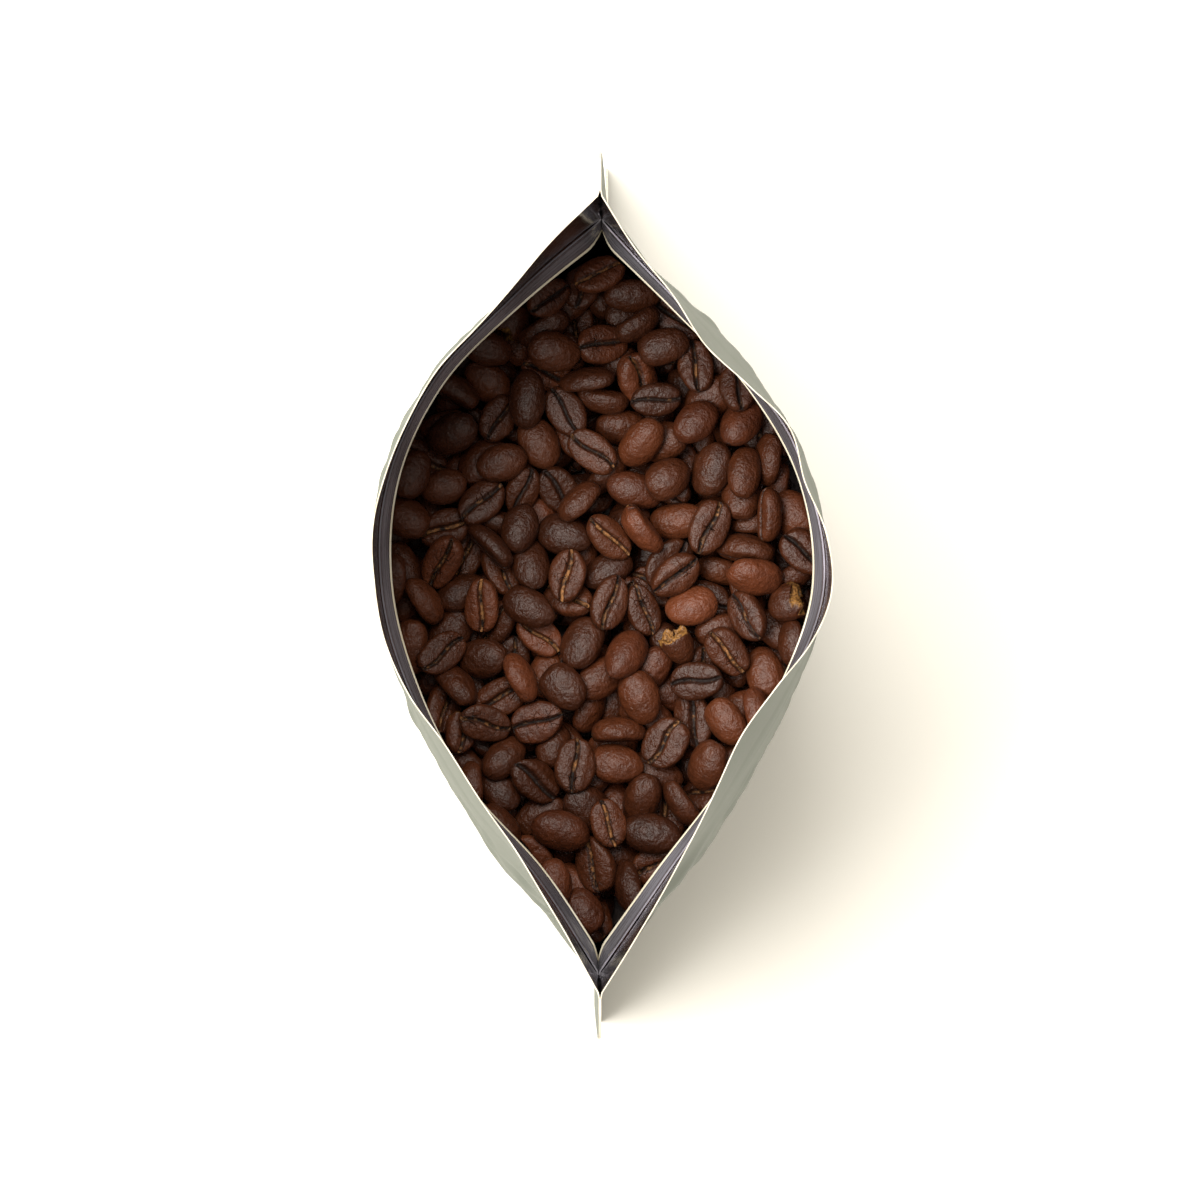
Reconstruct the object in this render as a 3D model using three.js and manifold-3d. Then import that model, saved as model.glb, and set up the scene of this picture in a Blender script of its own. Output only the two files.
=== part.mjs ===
// An open stand-up pouch of roasted coffee beans, standing on its bottom gusset.
// Millimetres, +Z up. X runs from side seal to side seal and the front panel faces -Y.
// The origin is the middle of the gusset, where it is pressed flat on the table.
import * as THREE from 'three';
import { mergeVertices } from 'three/addons/utils/BufferGeometryUtils.js';
import Module from 'manifold-3d';

const wasm = await Module();
wasm.setup();

// The bag as it is cut: two panels of film, sealed to each other along both sides.
const BAG_WIDTH = 190;
const SEAL_WIDTH = 8.4;
const FREE_FILM = BAG_WIDTH - 2 * SEAL_WIDTH;
const WALL = 0.6;
// From here to the end of the film's run, its outer face turns to lie along the seal.
const SEAL_TURN = 0.94;

// Heights of the standing bag.
const LIP_HEIGHT = 263;
const LIP_DIP = 3.5;
const ZIPPER_TOP = 237;
const ZIPPER_LOW = 224;
const BULGE_TOP = 165;
const BULGE_LOW = 95;

// The foot is a boat: the film bows between its two corners and spreads as far as it reaches.
const FOOT_HALF_LENGTH = 79.2;
const FOOT_BOW = 0.733;

// The open mouth at the zipper, from the -X seal to the +X seal in equal steps of film length.
const BACK_MOUTH_X = [-69.8, -52.6, -37.1, -18.6, 1.5, 22.2, 40.7, 55.6, 68.8];
const BACK_MOUTH_Y = [0, 11.8, 25.7, 35.4, 40.7, 39.4, 30.7, 16.1, 0];
const FRONT_MOUTH_X = [-69.8, -52.9, -36.4, -18.5, 1, 21.4, 39.5, 54.5, 68.8];
const FRONT_MOUTH_Y = [0, -11.9, -24.4, -35, -41.5, -39.2, -29.3, -15, 0];
// How far the filled body swells past that outline, at the same steps, while its ends draw in.
const BACK_SWELL = [0, 5, 2, 1.8, 2, 2.2, 2.2, 3, 0];
const FRONT_SWELL = [0, 4.4, 2.9, 1.6, 1.4, 1.4, 1.8, 3.2, 0];
const BODY_DRAWN_IN = { right: 3.8, left: 2 };
// How far the lip leans out from it, or in where negative, in steps half as long.
const BACK_LEAN = [0, -0.3, -0.7, -2.3, -3.1, -2.7, -0.5, 0.6, 0.6, 0.8, -0.1, -0.6, -0.7, -1.3, -0.8, 0.1, 0];
const FRONT_LEAN = [0, 0.1, -0.3, -1.7, -3.4, -4.6, -3.2, -0.4, 1, 0.1, -1.8, -0.4, -2.7, -4.1, -2.3, -1.8, 0];
const LIP_SPREAD = { right: 4.8, left: 3.6 };
// The panels stay pressed together along the seals, but come apart at the lip and at the foot.
const PRESSED = 3;

// The side seals sway a little between the table and the lip.
const SWAY_AT_TABLE = { right: -1.4, left: 0 };
const SWAY_HALFWAY = { right: -0.5, left: 0.9 };

// The gusset is sealed to both panels along an arc that climbs towards the corners.
const GUSSET_SEAL_LOW = 4;
const GUSSET_SEAL_RADIUS = 95;
const GUSSET_FLAT_HALF = 30;
const GUSSET_ROLL = 0.3;
const GUSSET_CORNER = 0.9;

// The zipper strips.
const ZIPPER_GAP = 0.3;
const ZIPPER_BACKING = 0.5;
const ZIPPER_REACH = 1.6;
const ZIPPER_END = 0.955;

// The beans: half length, half width and half height of an average one, and how they fill the bag.
const BEAN_HALF = [5.2, 3.65, 2.6];
const BEAN_COUNT = 345;
const BEANS_SHOWN = 134;
const BED_LEVEL = 183.5;
const FILL_LIMIT = 206;
const SETTLE = 0.6;
const CORE_DEPTH = 3.2;
const CONTENT_GAP = 0.4;
const BEAN_SEED = 20;
// Of a poured bean: the shares that lie flat side up and on edge, and how far each is tipped.
const FLAT_UP_SHARE = 0.42;
const ON_EDGE_SHARE = 0.18;
const EDGE_ROLL = 1.3;
const TIP = 0.6;
const SIZE_SPREAD = 0.11;
// How a bean finds its place: spots tried, then slides of a few millimetres, on a grid of cells.
const SPOTS = 14;
const SLIDES = 8;
const SLIDE = 3;
const CELL = 1;
const BED = { x: 80, y: 50 };

// How finely the film is divided: columns from seal to seal, strips across the gusset and
// across the heap, and how close two corners are one.
const COLUMNS = 22;
const GUSSET_STRIPS = 5;
const TOP_STRIPS = 6;
const MERGE = 1e-3;

const FRONT = {
  sign: -1, mouthX: FRONT_MOUTH_X, mouthY: FRONT_MOUTH_Y, swell: FRONT_SWELL, lean: FRONT_LEAN,
};
const BACK = {
  sign: 1, mouthX: BACK_MOUTH_X, mouthY: BACK_MOUTH_Y, swell: BACK_SWELL, lean: BACK_LEAN,
};

const mix = (a, b, share) => a + (b - a) * share;

function smooth(value) {
  const t = Math.min(1, Math.max(0, value));
  return t * t * (3 - 2 * t);
}

// A smooth curve through evenly spaced values, read at u from -1 to 1.
function through(values, u) {
  const last = values.length - 1;
  const place = (u + 1) / 2 * last;
  const i = Math.min(last - 1, Math.max(0, Math.floor(place)));
  const t = place - i;
  const [p1, p2] = [values[i], values[i + 1]];
  const p0 = i > 0 ? values[i - 1] : 2 * p1 - p2;
  const p3 = i + 2 <= last ? values[i + 2] : 2 * p2 - p1;
  const bend = 2 * p0 - 5 * p1 + 4 * p2 - p3;
  return p1 + 0.5 * t * (p2 - p0 + t * (bend + t * (3 * (p1 - p2) + p3 - p0)));
}

// The direction out of the bag at u, across a curve given by its x and y.
function outward(curve, u, sign) {
  const step = 0.01;
  const [ax, ay] = curve(Math.max(-1, u - step));
  const [bx, by] = curve(Math.min(1, u + step));
  const length = Math.hypot(bx - ax, by - ay);
  return [-(by - ay) / length * sign, (bx - ax) / length * sign];
}

function mouthOutline(side, u) {
  return [through(side.mouthX, u), through(side.mouthY, u)];
}

// A length that is given at each end and fades towards the middle, outwards along X.
function atEnds(lengths, u) {
  return Math.sign(u) * (u > 0 ? lengths.right : lengths.left) * Math.pow(Math.abs(u), 3);
}

function bodyOutline(side, u) {
  const [x, y] = mouthOutline(side, u);
  const swell = through(side.swell, u);
  const [nx, ny] = outward((v) => mouthOutline(side, v), u, side.sign);
  return [x + nx * swell - atEnds(BODY_DRAWN_IN, u), y + ny * swell];
}

function footOutline(side, u) {
  const radius = FOOT_HALF_LENGTH / Math.sin(FOOT_BOW);
  const angle = FOOT_BOW * u;
  return [radius * Math.sin(angle), side.sign * radius * (Math.cos(angle) - Math.cos(FOOT_BOW))];
}

function lipOutline(side, u) {
  const [x, y] = mouthOutline(side, u);
  const lean = through(side.lean, u);
  const [nx, ny] = outward((v) => mouthOutline(side, v), u, side.sign);
  return [x + nx * lean + atEnds(LIP_SPREAD, u), y + ny * lean];
}

function lipHeight(side, u) {
  const lean = through(side.lean, u);
  return LIP_HEIGHT - LIP_DIP * (1 - u * u) - lean * lean / (LIP_HEIGHT - ZIPPER_LOW);
}

function sway(u, z) {
  const end = u > 0 ? 'right' : 'left';
  const rise = z / LIP_HEIGHT;
  const bow = SWAY_HALFWAY[end] * Math.sin(Math.PI * rise);
  return (SWAY_AT_TABLE[end] * (1 - rise) + bow) * Math.pow(Math.abs(u), 4);
}

// The inner face of the film: where it stands at u along the bag and z above the table.
function filmPoint(side, u, z) {
  const blend = (from, to, share) => {
    const [ax, ay] = from(side, u);
    const [bx, by] = to(side, u);
    return [mix(ax, bx, share), mix(ay, by, share)];
  };
  let point;
  if (z < BULGE_LOW) point = blend(footOutline, bodyOutline, smooth(z / BULGE_LOW));
  else if (z < BULGE_TOP) point = bodyOutline(side, u);
  else if (z < ZIPPER_LOW) {
    point = blend(bodyOutline, mouthOutline, smooth((z - BULGE_TOP) / (ZIPPER_LOW - BULGE_TOP)));
  } else {
    const share = (z - ZIPPER_LOW) / (lipHeight(side, u) - ZIPPER_LOW);
    point = blend(mouthOutline, lipOutline, mix(share, share * share, 0.4));
  }
  return [point[0], point[1] + sway(u, z), z];
}

// The same point moved out of the bag by a distance, or into it where that is negative.
// At a seal the two films lie flat on each other, so there the way out is square to the seal.
function filmOffset(side, u, z, distance) {
  const [x, y] = filmPoint(side, u, z);
  const [nx, ny] = outward((v) => filmPoint(side, v, z), u, side.sign);
  const flat = smooth((Math.abs(u) - SEAL_TURN) / (1 - SEAL_TURN));
  const dx = mix(nx, 0, flat);
  const dy = mix(ny, side.sign, flat);
  const length = Math.hypot(dx, dy);
  return [x + dx / length * distance, y + dy / length * distance, z];
}

function gussetSealHeight(u) {
  const along = u * FREE_FILM / 2;
  return GUSSET_SEAL_LOW + GUSSET_SEAL_RADIUS - Math.sqrt(GUSSET_SEAL_RADIUS ** 2 - along * along);
}

// The middle of the gusset lies on the table and climbs to the side seals at both ends.
function gussetMiddleHeight(u) {
  const flat = GUSSET_FLAT_HALF / (FREE_FILM / 2);
  const climb = Math.max(0, Math.abs(u) - flat) / (1 - flat);
  return gussetSealHeight(1) * climb * climb;
}

// From 0 along the bag to 1 at the corners of the gusset, where its middle meets the side seals.
function cornerShare(u) {
  return smooth((Math.abs(u) - GUSSET_CORNER) / (1 - GUSSET_CORNER));
}

// Collects closed skins as patches of quads, and leaves out the flat ones at a pointed end.
class Skin {
  constructor() {
    this.corners = [];
  }

  triangle(a, b, c) {
    const same = (p, q) => Math.hypot(p[0] - q[0], p[1] - q[1], p[2] - q[2]) < 1e-4;
    if (same(a, b) || same(b, c) || same(a, c)) return;
    this.corners.push(...a, ...b, ...c);
  }

  patch(rows, inwards = false) {
    for (let i = 0; i + 1 < rows.length; i++) {
      for (let j = 0; j + 1 < rows[i].length; j++) {
        const [a, b] = [rows[i][j], rows[i][j + 1]];
        const [d, c] = [rows[i + 1][j], rows[i + 1][j + 1]];
        if (inwards) {
          this.triangle(a, c, b);
          this.triangle(a, d, c);
        } else {
          this.triangle(a, b, c);
          this.triangle(a, c, d);
        }
      }
    }
  }

  geometry() {
    const loose = new THREE.BufferGeometry();
    loose.setAttribute('position', new THREE.Float32BufferAttribute(this.corners, 3));
    return mergeVertices(loose, MERGE);
  }
}

const columns = Array.from({ length: COLUMNS + 1 }, (_, i) => -1 + 2 * i / COLUMNS);
const backwards = [...columns].reverse();

// Heights of one row of the film at u: the table, the gusset seal, the body, the zipper and the lip.
const BODY_ROWS = [70, 115, 160, 195, ZIPPER_LOW, ZIPPER_TOP];
const FOOT_ROW = 0;
const SEAL_ROW = 1;
const ROWS = BODY_ROWS.length + 5;

function rowHeight(side, u, row) {
  if (row === FOOT_ROW) return 0;
  if (row === SEAL_ROW) return gussetSealHeight(u);
  if (row === SEAL_ROW + 1) return mix(gussetSealHeight(u), BODY_ROWS[0], 0.5);
  if (row < SEAL_ROW + 2 + BODY_ROWS.length) return BODY_ROWS[row - SEAL_ROW - 2];
  const lip = lipHeight(side, u);
  return row === ROWS - 1 ? lip : mix(ZIPPER_TOP, lip, 0.5);
}

function pressed(z) {
  return PRESSED * smooth(z / BULGE_LOW) * smooth((LIP_HEIGHT - z) / (LIP_HEIGHT - ZIPPER_TOP));
}

function finEdge(side, end, z) {
  const [x, y] = filmPoint(side, end, z);
  return [x + end * (SEAL_WIDTH + pressed(z)), y + side.sign * WALL, z];
}

// Once round the outside at one row: front panel, right seal, back panel, left seal.
function outerLoop(row) {
  const film = (side, u) => filmOffset(side, u, rowHeight(side, u, row), WALL);
  const fin = (side, end) => finEdge(side, end, rowHeight(side, end, row));
  return [
    ...columns.map((u) => film(FRONT, u)), fin(FRONT, 1), fin(BACK, 1),
    ...backwards.map((u) => film(BACK, u)), fin(BACK, -1), fin(FRONT, -1), film(FRONT, -1),
  ];
}

function innerLoop(height) {
  return [
    ...columns.map((u) => filmPoint(FRONT, u, height(FRONT, u))),
    ...backwards.map((u) => filmPoint(BACK, u, height(BACK, u))),
  ];
}

// The level edge that joins the inner and the outer face, with the end of each side seal.
function edgeBand(skin, outer, inner, inwards) {
  const end = COLUMNS + 1;
  const frontOuter = outer.slice(0, end);
  const backOuter = outer.slice(end + 2, 2 * end + 2);
  skin.patch([frontOuter, inner.slice(0, end)], inwards);
  skin.patch([backOuter, inner.slice(end)], inwards);
  const fan = (tip, ring) => {
    for (let i = 0; i + 1 < ring.length; i++) {
      if (inwards) skin.triangle(tip, ring[i + 1], ring[i]);
      else skin.triangle(tip, ring[i], ring[i + 1]);
    }
  };
  fan(inner[end], outer.slice(end - 1, end + 3));
  fan(inner[0], outer.slice(2 * end + 1, 2 * end + 5));
}

// The gusset from the front film to the back film, column by column.
function gussetRows(point, sideHeight, middleHeight) {
  const rows = [];
  for (let k = 0; k <= GUSSET_STRIPS; k++) {
    const across = k / GUSSET_STRIPS;
    const sag = smooth(across / GUSSET_ROLL) * smooth((1 - across) / GUSSET_ROLL);
    rows.push(columns.map((u) => {
      const z = sideHeight(u);
      const front = point(FRONT, u, z);
      const back = point(BACK, u, z);
      return [mix(front[0], back[0], across), mix(front[1], back[1], across),
        mix(z, middleHeight(u), sag)];
    }));
  }
  return rows;
}

function pouchGeometry() {
  const skin = new Skin();
  const rows = Array.from({ length: ROWS }, (_, row) => row);
  const outer = rows.map(outerLoop);
  const inner = rows.slice(SEAL_ROW).map((row) => innerLoop((side, u) => rowHeight(side, u, row)));
  skin.patch(outer);
  skin.patch(inner, true);
  edgeBand(skin, outer[ROWS - 1], inner[inner.length - 1], false);
  const under = (u) => gussetSealHeight(u) - WALL;
  const skirt = [innerLoop(() => 0), innerLoop((side, u) => under(u))];
  skin.patch(skirt, true);
  edgeBand(skin, outer[FOOT_ROW], skirt[0], true);
  const middleUnder = (u) => mix(gussetMiddleHeight(u), under(u), cornerShare(u));
  skin.patch(gussetRows(filmPoint, gussetSealHeight, (u) => middleUnder(u) + WALL));
  skin.patch(gussetRows(filmPoint, under, middleUnder), true);
  return skin.geometry();
}

// One zipper strip: a backing welded to the film, with two ribs that stand into the mouth.
function zipperGeometry(side) {
  const middle = (ZIPPER_LOW + ZIPPER_TOP) / 2;
  const rib = 1.4;
  const profile = [
    [0, ZIPPER_LOW], [ZIPPER_REACH - ZIPPER_GAP, ZIPPER_LOW], [ZIPPER_REACH - ZIPPER_GAP, ZIPPER_LOW + rib],
    [ZIPPER_BACKING, ZIPPER_LOW + 2 * rib], [ZIPPER_BACKING, middle],
    [2 * ZIPPER_BACKING, middle + rib / 2], [ZIPPER_BACKING, middle + rib],
    [ZIPPER_BACKING, ZIPPER_TOP], [0, ZIPPER_TOP],
  ];
  const rows = columns.map((column) => {
    const u = column * ZIPPER_END;
    const ring = profile.map(([depth, z]) => filmOffset(side, u, z, -ZIPPER_GAP - depth));
    return [...ring, ring[0]];
  });
  const skin = new Skin();
  const mirrored = side.sign > 0;
  skin.patch(rows, mirrored);
  const cap = (ring, inwards) => {
    const points = ring.slice(0, -1).map(([x, y, z]) => new THREE.Vector2(Math.hypot(x, y), z));
    for (const [a, b, c] of THREE.ShapeUtils.triangulateShape(points, [])) {
      if (inwards) skin.triangle(ring[a], ring[c], ring[b]);
      else skin.triangle(ring[a], ring[b], ring[c]);
    }
  };
  cap(rows[0], mirrored);
  cap(rows[rows.length - 1], !mirrored);
  return skin.geometry();
}

// A point of the film as the pouch's facets have it, straight from one row to the next.
function facetPoint(side, u, z, distance) {
  let row = SEAL_ROW;
  while (row + 2 < ROWS && rowHeight(side, u, row + 1) < z) row += 1;
  const low = rowHeight(side, u, row);
  const high = rowHeight(side, u, row + 1);
  const share = (z - low) / (high - low);
  const below = filmOffset(side, u, low, distance);
  const above = filmOffset(side, u, high, distance);
  return [mix(below[0], above[0], share), mix(below[1], above[1], share), z];
}

// The room inside the film, less a small gap, from the gusset up to a top that may be uneven.
function contentsGeometry(topHeight, rowsBelow) {
  const shrunk = (side, u, z) => {
    const [x, y] = facetPoint(side, u, z, -CONTENT_GAP);
    if (Math.abs(u) < 0.999) return [x, y, z];
    return [x - Math.sign(u) * 3 * CONTENT_GAP, sway(u, z), z];
  };
  const topPoint = (u, across) => {
    const spot = (z) => {
      const front = shrunk(FRONT, u, z);
      const back = shrunk(BACK, u, z);
      return [mix(front[0], back[0], across), mix(front[1], back[1], across)];
    };
    const z = topHeight(...spot(BED_LEVEL));
    return [...spot(z), z];
  };
  const low = (u) => gussetSealHeight(u) + 3 * CONTENT_GAP;
  const lowMiddle = (u) => mix(gussetMiddleHeight(u) + WALL + 4 * CONTENT_GAP, low(u), cornerShare(u));
  const loop = (height) => [
    ...columns.map((u) => shrunk(FRONT, u, height(u))),
    ...backwards.map((u) => shrunk(BACK, u, height(u))),
  ];
  const halfway = (u) => rowHeight(FRONT, u, SEAL_ROW + 1);
  const rows = BODY_ROWS.slice(0, rowsBelow).map((z) => loop(() => z));
  const topLoop = [...columns.map((u) => topPoint(u, 0)), ...backwards.map((u) => topPoint(u, 1))];
  const skin = new Skin();
  skin.patch([loop(low), loop(halfway), ...rows, topLoop]);
  skin.patch(gussetRows(shrunk, low, lowMiddle), true);
  const top = [];
  for (let k = 0; k <= TOP_STRIPS; k++) top.push(columns.map((u) => topPoint(u, k / TOP_STRIPS)));
  skin.patch(top);
  return skin.geometry();
}

// A repeatable stream of numbers from 0 to 1.
function seeded(seed) {
  let state = seed;
  return () => {
    state = (state + 0x6d2b79f5) | 0;
    let t = Math.imul(state ^ (state >>> 15), 1 | state);
    t = (t + Math.imul(t ^ (t >>> 7), 61 | t)) ^ t;
    return ((t ^ (t >>> 14)) >>> 0) / 4294967296;
  };
}

// The quadratic form of a turned ellipsoid, to read its underside and its top at any point.
function ellipsoidForm(half, matrix) {
  const e = matrix.elements;
  const form = (i, j) => {
    const term = (k) => e[4 * k + i] * e[4 * k + j] / half[k] ** 2;
    return term(0) + term(1) + term(2);
  };
  return {
    xx: form(0, 0), xy: form(0, 1), yy: form(1, 1), xz: form(0, 2), yz: form(1, 2), zz: form(2, 2),
  };
}

function eachCell(bed, form, x, y, reach, visit) {
  const firstI = Math.ceil((x - reach - bed.x0) / CELL);
  const lastI = Math.floor((x + reach - bed.x0) / CELL);
  const firstJ = Math.ceil((y - reach - bed.y0) / CELL);
  const lastJ = Math.floor((y + reach - bed.y0) / CELL);
  for (let i = firstI; i <= lastI; i++) {
    for (let j = firstJ; j <= lastJ; j++) {
      const dx = bed.x0 + i * CELL - x;
      const dy = bed.y0 + j * CELL - y;
      const lean = form.xz * dx + form.yz * dy;
      const flat = form.xx * dx * dx + 2 * form.xy * dx * dy + form.yy * dy * dy;
      const root = lean * lean - form.zz * (flat - 1);
      if (root <= 0) continue;
      const half = Math.sqrt(root) / form.zz;
      visit(i * bed.rows + j, -lean / form.zz - half, -lean / form.zz + half);
    }
  }
}

function restingHeight(bed, form, x, y, reach) {
  let height = -Infinity;
  eachCell(bed, form, x, y, reach, (cell, under) => {
    height = Math.max(height, bed.height[cell] - under);
  });
  return height;
}

// An empty bed: level inside the film, and a wall everywhere else.
function emptyBed() {
  const ring = [
    ...columns.map((u) => filmOffset(FRONT, u, BED_LEVEL, -CONTENT_GAP)),
    ...backwards.map((u) => filmOffset(BACK, u, BED_LEVEL, -CONTENT_GAP)),
  ];
  const bed = { x0: -BED.x, y0: -BED.y, columns: 2 * BED.x / CELL + 1, rows: 2 * BED.y / CELL + 1 };
  const inside = (x, y) => {
    let odd = false;
    for (let i = 0, j = ring.length - 1; i < ring.length; j = i++) {
      const crosses = (ring[i][1] > y) !== (ring[j][1] > y);
      const slope = (ring[j][0] - ring[i][0]) / (ring[j][1] - ring[i][1]);
      if (crosses && x < ring[i][0] + slope * (y - ring[i][1])) odd = !odd;
    }
    return odd;
  };
  const wall = 1000;
  bed.height = new Float64Array(bed.columns * bed.rows);
  for (let i = 0; i < bed.columns; i++) {
    for (let j = 0; j < bed.rows; j++) {
      bed.height[i * bed.rows + j] = inside(bed.x0 + i * CELL, bed.y0 + j * CELL) ? BED_LEVEL : wall;
    }
  }
  return bed;
}

// Drops the beans one by one. Each tries some spots, takes the lowest and slides down from there.
function pourBeans() {
  const random = seeded(BEAN_SEED);
  const spread = (amount) => (random() + random() - 1) * amount;
  const bed = emptyBed();
  const beans = [];
  while (beans.length < BEAN_COUNT) {
    const size = 1 + spread(SIZE_SPREAD);
    const half = BEAN_HALF.map((h) => h * size * (1 + spread(SIZE_SPREAD)));
    const face = random();
    let roll = spread(TIP);
    if (face < FLAT_UP_SHARE) roll += Math.PI;
    else if (face < FLAT_UP_SHARE + ON_EDGE_SHARE) roll += random() < 0.5 ? EDGE_ROLL : -EDGE_ROLL;
    const pitch = spread(TIP);
    const turn = new THREE.Matrix4();
    let best = null;
    const consider = (x, y, yaw) => {
      turn.makeRotationFromEuler(new THREE.Euler(roll, pitch, yaw, 'ZYX'));
      const form = ellipsoidForm(half, turn);
      const z = restingHeight(bed, form, x, y, half[0]);
      if (best === null || z < best.z) best = { x, y, z, yaw, form, matrix: turn.clone() };
    };
    for (let i = 0; i < SPOTS; i++) {
      consider(spread(BED.x), spread(BED.y), random() * 2 * Math.PI);
    }
    for (let i = 0; i < SLIDES; i++) {
      const { x, y, yaw } = best;
      consider(x + spread(SLIDE), y + spread(SLIDE), yaw + spread(TIP));
    }
    if (best.z > FILL_LIMIT - BEAN_HALF[0]) continue;
    const bean = { ...best, z: best.z - SETTLE, half };
    eachCell(bed, bean.form, bean.x, bean.y, half[0], (cell, under, top) => {
      if (bean.z + top > bed.height[cell]) bed.height[cell] = bean.z + top;
    });
    beans.push(bean);
  }
  return { beans, bed };
}

// The beans that show from above, the ones with the largest visible part first.
function shownBeans({ beans, bed }) {
  for (const bean of beans) {
    bean.shows = 0;
    eachCell(bed, bean.form, bean.x, bean.y, bean.half[0], (cell, under, top) => {
      if (bean.z + top > bed.height[cell] - 1e-6) bean.shows += 1;
    });
  }
  return beans.sort((a, b) => b.shows - a.shows).slice(0, BEANS_SHOWN);
}

// The mean height of the poured beans round a point, a little lowered: the core's top there.
function coreHeight(bed, x, y) {
  const reach = 5;
  let sum = 0;
  let count = 0;
  for (let i = Math.round((x - reach - bed.x0) / CELL); bed.x0 + i * CELL <= x + reach; i++) {
    for (let j = Math.round((y - reach - bed.y0) / CELL); bed.y0 + j * CELL <= y + reach; j++) {
      const height = bed.height[i * bed.rows + j];
      if (height < FILL_LIMIT) {
        sum += height;
        count += 1;
      }
    }
  }
  return count > 0 ? sum / count - CORE_DEPTH : BED_LEVEL;
}

// A bean with few sides: three sections along it, each with the groove on its flat side.
function beanGeometry(bean) {
  const section = [
    [-0.95, -0.4], [-0.22, -1], [0, -0.55], [0.22, -1], [0.95, -0.4], [0.66, 0.85], [-0.66, 0.85],
  ];
  const [length, width, height] = bean.half;
  const place = bean.matrix.clone().setPosition(bean.x, bean.y, bean.z);
  const put = (x, y, z) => new THREE.Vector3(x, y, z).applyMatrix4(place).toArray();
  const stations = [-1, -0.66, 0, 0.66, 1];
  const fullness = 1.08;
  const rows = stations.map((s) => {
    const girth = Math.sqrt(1 - s * s) * fullness;
    const ring = section.map(([y, z]) => put(s * length, y * width * girth, z * height * girth));
    return [...ring, ring[0]];
  });
  const skin = new Skin();
  skin.patch(rows);
  return skin.geometry();
}

function toManifold(geometry) {
  return new wasm.Manifold(new wasm.Mesh({
    numProp: 3,
    vertProperties: new Float32Array(geometry.attributes.position.array),
    triVerts: new Uint32Array(geometry.index.array),
  }));
}

function fromManifold(solid) {
  const mesh = solid.getMesh();
  const geometry = new THREE.BufferGeometry();
  geometry.setAttribute('position', new THREE.BufferAttribute(new Float32Array(mesh.vertProperties), 3));
  geometry.setIndex(new THREE.BufferAttribute(new Uint32Array(mesh.triVerts), 1));
  return geometry;
}

// The largest closed shell of a solid. What it encloses is filled, and loose scraps are dropped.
function outerShell(solid) {
  return solid.decompose().sort((a, b) => b.volume() - a.volume())[0];
}

// The coffee: a core that fills the bag, with the beans that show joined to its top.
function coffeeGeometry() {
  const poured = pourBeans();
  let heap = toManifold(contentsGeometry((x, y) => coreHeight(poured.bed, x, y), 3));
  for (const bean of shownBeans(poured)) heap = heap.add(toManifold(beanGeometry(bean)));
  const shell = outerShell(heap.intersect(toManifold(contentsGeometry(() => FILL_LIMIT, 4))));
  return fromManifold(outerShell(toManifold(mergeVertices(fromManifold(shell), 2 * MERGE))));
}

const FILM = new THREE.MeshStandardMaterial({ color: 0xb9bcae, roughness: 0.38, metalness: 0.45 });
const ZIPPER = new THREE.MeshStandardMaterial({ color: 0xa9a7b0, roughness: 0.4, metalness: 0 });
const COFFEE = new THREE.MeshStandardMaterial({ color: 0x3f241a, roughness: 0.5, metalness: 0 });

const group = new THREE.Group();

function addPiece(name, geometry, material) {
  const mesh = new THREE.Mesh(geometry, material);
  mesh.name = name;
  group.add(mesh);
}

addPiece('pouch', pouchGeometry(), FILM);
addPiece('zipper_front', zipperGeometry(FRONT), ZIPPER);
addPiece('zipper_back', zipperGeometry(BACK), ZIPPER);
addPiece('coffee_beans', coffeeGeometry(), COFFEE);

export default group;
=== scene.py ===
# %% [markdown]
# # An open bag of coffee beans
# A stand-up pouch of roasted coffee, standing open on a white table and seen from straight above.
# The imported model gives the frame: every piece made here sits where the solids are. X runs from
# side seal to side seal, the front panel faces -Y, and Z is up. Blender works in metres, and the
# bag is drawn in millimetres, so a length is multiplied by MM when it becomes a vertex.

# %% Load the frame
import math

import bpy
import numpy as np
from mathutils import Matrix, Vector


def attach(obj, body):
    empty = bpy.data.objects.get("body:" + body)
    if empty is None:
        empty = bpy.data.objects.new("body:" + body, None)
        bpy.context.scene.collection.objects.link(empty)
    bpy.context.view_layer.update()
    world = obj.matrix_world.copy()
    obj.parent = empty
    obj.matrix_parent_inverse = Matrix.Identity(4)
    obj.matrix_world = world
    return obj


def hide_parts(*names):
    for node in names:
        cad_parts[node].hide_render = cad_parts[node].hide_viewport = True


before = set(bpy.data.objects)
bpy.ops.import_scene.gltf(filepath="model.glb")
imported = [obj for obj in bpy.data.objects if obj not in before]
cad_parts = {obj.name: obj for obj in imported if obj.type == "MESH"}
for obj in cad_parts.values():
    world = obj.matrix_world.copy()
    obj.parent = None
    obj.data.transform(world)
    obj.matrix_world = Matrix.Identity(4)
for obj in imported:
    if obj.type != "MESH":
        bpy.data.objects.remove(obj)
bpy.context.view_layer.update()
MM = 0.001

# %% [markdown]
# ## The camera
# The photo looks straight down with a long lens from about two and a half metres. A millimetre is
# 5.45 pixels wide at the lip and 4.87 on the table. Their ratio gives the camera's height, and
# either of them then gives the lens. The picture's top edge points along +X.

# %% Camera
IMAGE_PIXELS = 1200
LIP_HEIGHT = 263
LIP_SCALE = 5.45
CAMERA_ABOVE_LIP = 2200
BAG_MIDDLE_PIXEL = 595.5
FULL_FRAME = 36


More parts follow.
